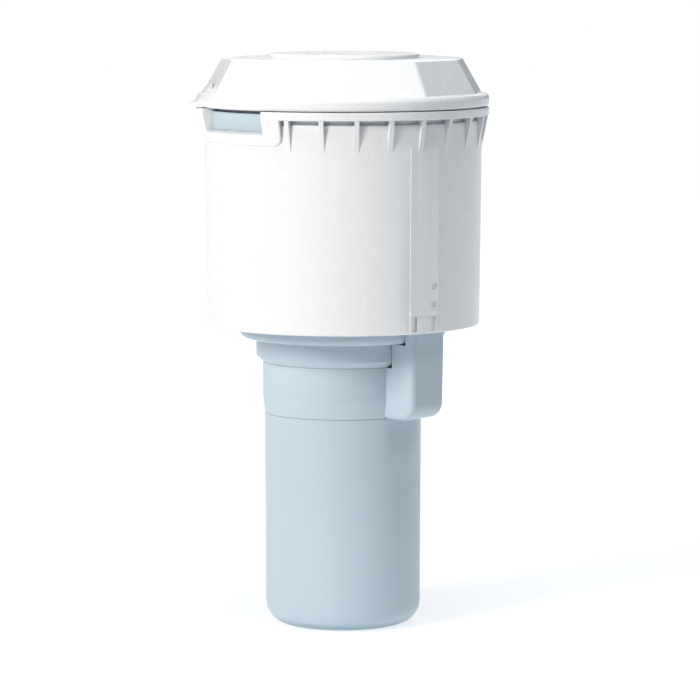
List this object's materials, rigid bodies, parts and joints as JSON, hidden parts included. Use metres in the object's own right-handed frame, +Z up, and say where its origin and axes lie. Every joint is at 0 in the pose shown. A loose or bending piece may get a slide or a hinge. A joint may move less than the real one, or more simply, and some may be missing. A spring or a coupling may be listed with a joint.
{
  "type": "floating pool chemical dispenser",
  "caption": "Floating tablet dispenser: a white ribbed float with a faceted lift-off lid over a pale blue-grey canister, whose feed ports open by turning a lugged sleeve.",
  "frame": {"origin": "centre of the canister's flat underside", "axes": "+Z up along the canister's axis; -Y is the front, with the thumb notch at its left and the lug at its right"},
  "size_m": [0.1664, 0.1608, 0.3156],
  "materials": {
    "white_shell": "glossy moulded white",
    "white_inner": "satin moulded white",
    "pale_blue": "satin pale grey-blue, slightly cloudy",
    "slip_ring": "matt light grey",
    "foam": "closed-cell foam, plain",
    "seal": "matt black elastomer",
    "stainless": "bright stainless",
    "coated_iron": "dark epoxy coating"
  },
  "bodies": {
    "float": {"float_shell": "white_shell", "float_base": "pale_blue", "base_screws": "stainless", "base_seal": "seal", "foam_front": "foam", "foam_rear": "foam", "foam_plug": "white_inner", "throat_tube": "white_inner", "throat_seal": "seal", "flange_seal": "seal", "deck": "pale_blue", "deck_gasket": "seal", "canister": "pale_blue", "canister_gasket": "seal", "lock_nut": "pale_blue", "sleeve_seals": "seal", "ballast_ring": "coated_iron", "tablet_grate": "white_inner", "grate_screw": "stainless"},
    "adjuster": {"adjuster_sleeve": "pale_blue"},
    "lid_drive": {"drive_ring": "slip_ring"},
    "lid": {"lid_shell": "white_shell", "lid_disc": "white_shell", "vent_valve": "seal", "lid_plate": "white_inner", "lid_gasket": "seal", "lid_screws": "stainless"}
  },
  "joints": [
    {"name": "sleeve_turn", "type": "hinge", "parent": "float", "child": "adjuster", "pos_m": [0, 0, 0.131], "axis": [0, 0, 1], "range_deg": [-25, 0]},
    {"name": "lid_turn", "type": "hinge", "parent": "float", "child": "lid_drive", "pos_m": [0, 0, 0.288], "axis": [0, 0, 1], "range_deg": [0, 36]},
    {"name": "lid_lift", "type": "slide", "parent": "lid_drive", "child": "lid", "axis": [0, 0, 1], "range_m": [0, 0.06]}
  ]
}
